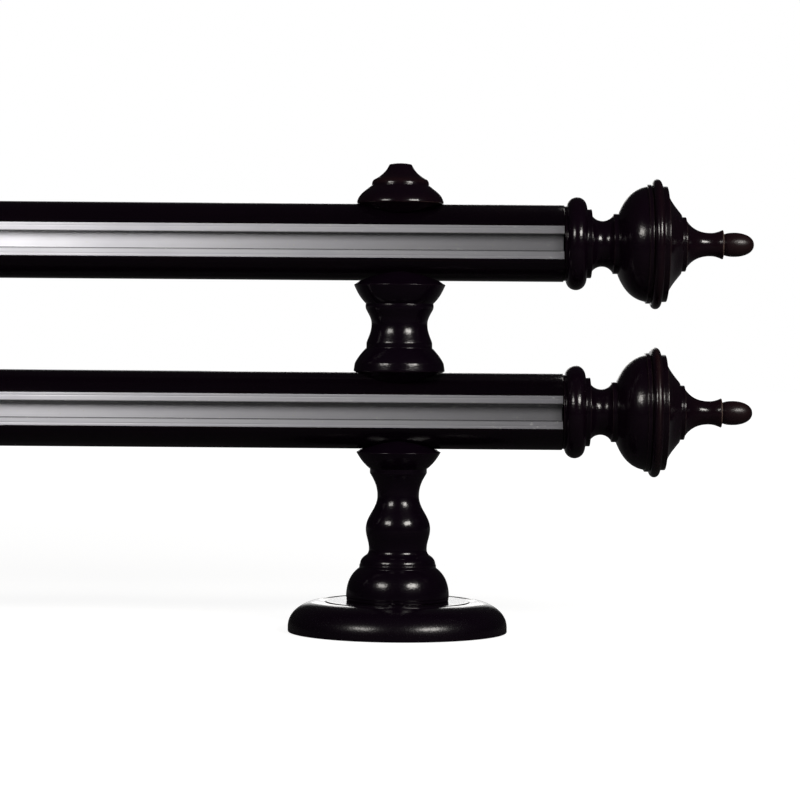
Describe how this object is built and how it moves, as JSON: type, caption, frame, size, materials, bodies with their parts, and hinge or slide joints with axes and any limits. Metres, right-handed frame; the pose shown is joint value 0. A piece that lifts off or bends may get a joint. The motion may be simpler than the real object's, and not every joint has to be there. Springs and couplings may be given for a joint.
{
  "type": "double curtain pole",
  "caption": "Double curtain pole of dark turned wood: grooved poles with aluminium curtain tracks, carried on turned wall brackets and closed by turned finials.",
  "frame": {"origin": "on the wall plane, midway between the two wall roses", "axes": "+X along the poles, +Z out from the wall, -Y where the tracks open (down in use)"},
  "size_m": [1.173, 0.1, 0.2135],
  "materials": {
    "lacquered_wood": "semi-gloss lacquer",
    "track_aluminium": "mill extruded",
    "steel_hardware": "zinc plated",
    "brass_insert": "machined"
  },
  "bodies": {
    "root": {"wall_rose_right": "lacquered_wood", "lower_spindle_right": "lacquered_wood", "upper_spindle_right": "lacquered_wood", "top_cap_right": "lacquered_wood", "tie_rod_right": "steel_hardware", "rod_washer_right": "steel_hardware", "rod_nut_right": "steel_hardware", "cap_insert_right": "brass_insert", "inner_finial_right": "lacquered_wood", "inner_finial_screw_right": "steel_hardware", "outer_finial_right": "lacquered_wood", "outer_finial_screw_right": "steel_hardware", "wall_rose_left": "lacquered_wood", "lower_spindle_left": "lacquered_wood", "upper_spindle_left": "lacquered_wood", "top_cap_left": "lacquered_wood", "tie_rod_left": "steel_hardware", "rod_washer_left": "steel_hardware", "rod_nut_left": "steel_hardware", "cap_insert_left": "brass_insert", "inner_finial_left": "lacquered_wood", "inner_finial_screw_left": "steel_hardware", "outer_finial_left": "lacquered_wood", "outer_finial_screw_left": "steel_hardware", "inner_pole": "lacquered_wood", "inner_track": "track_aluminium", "outer_pole": "lacquered_wood", "outer_track": "track_aluminium"}
  },
  "joints": []
}
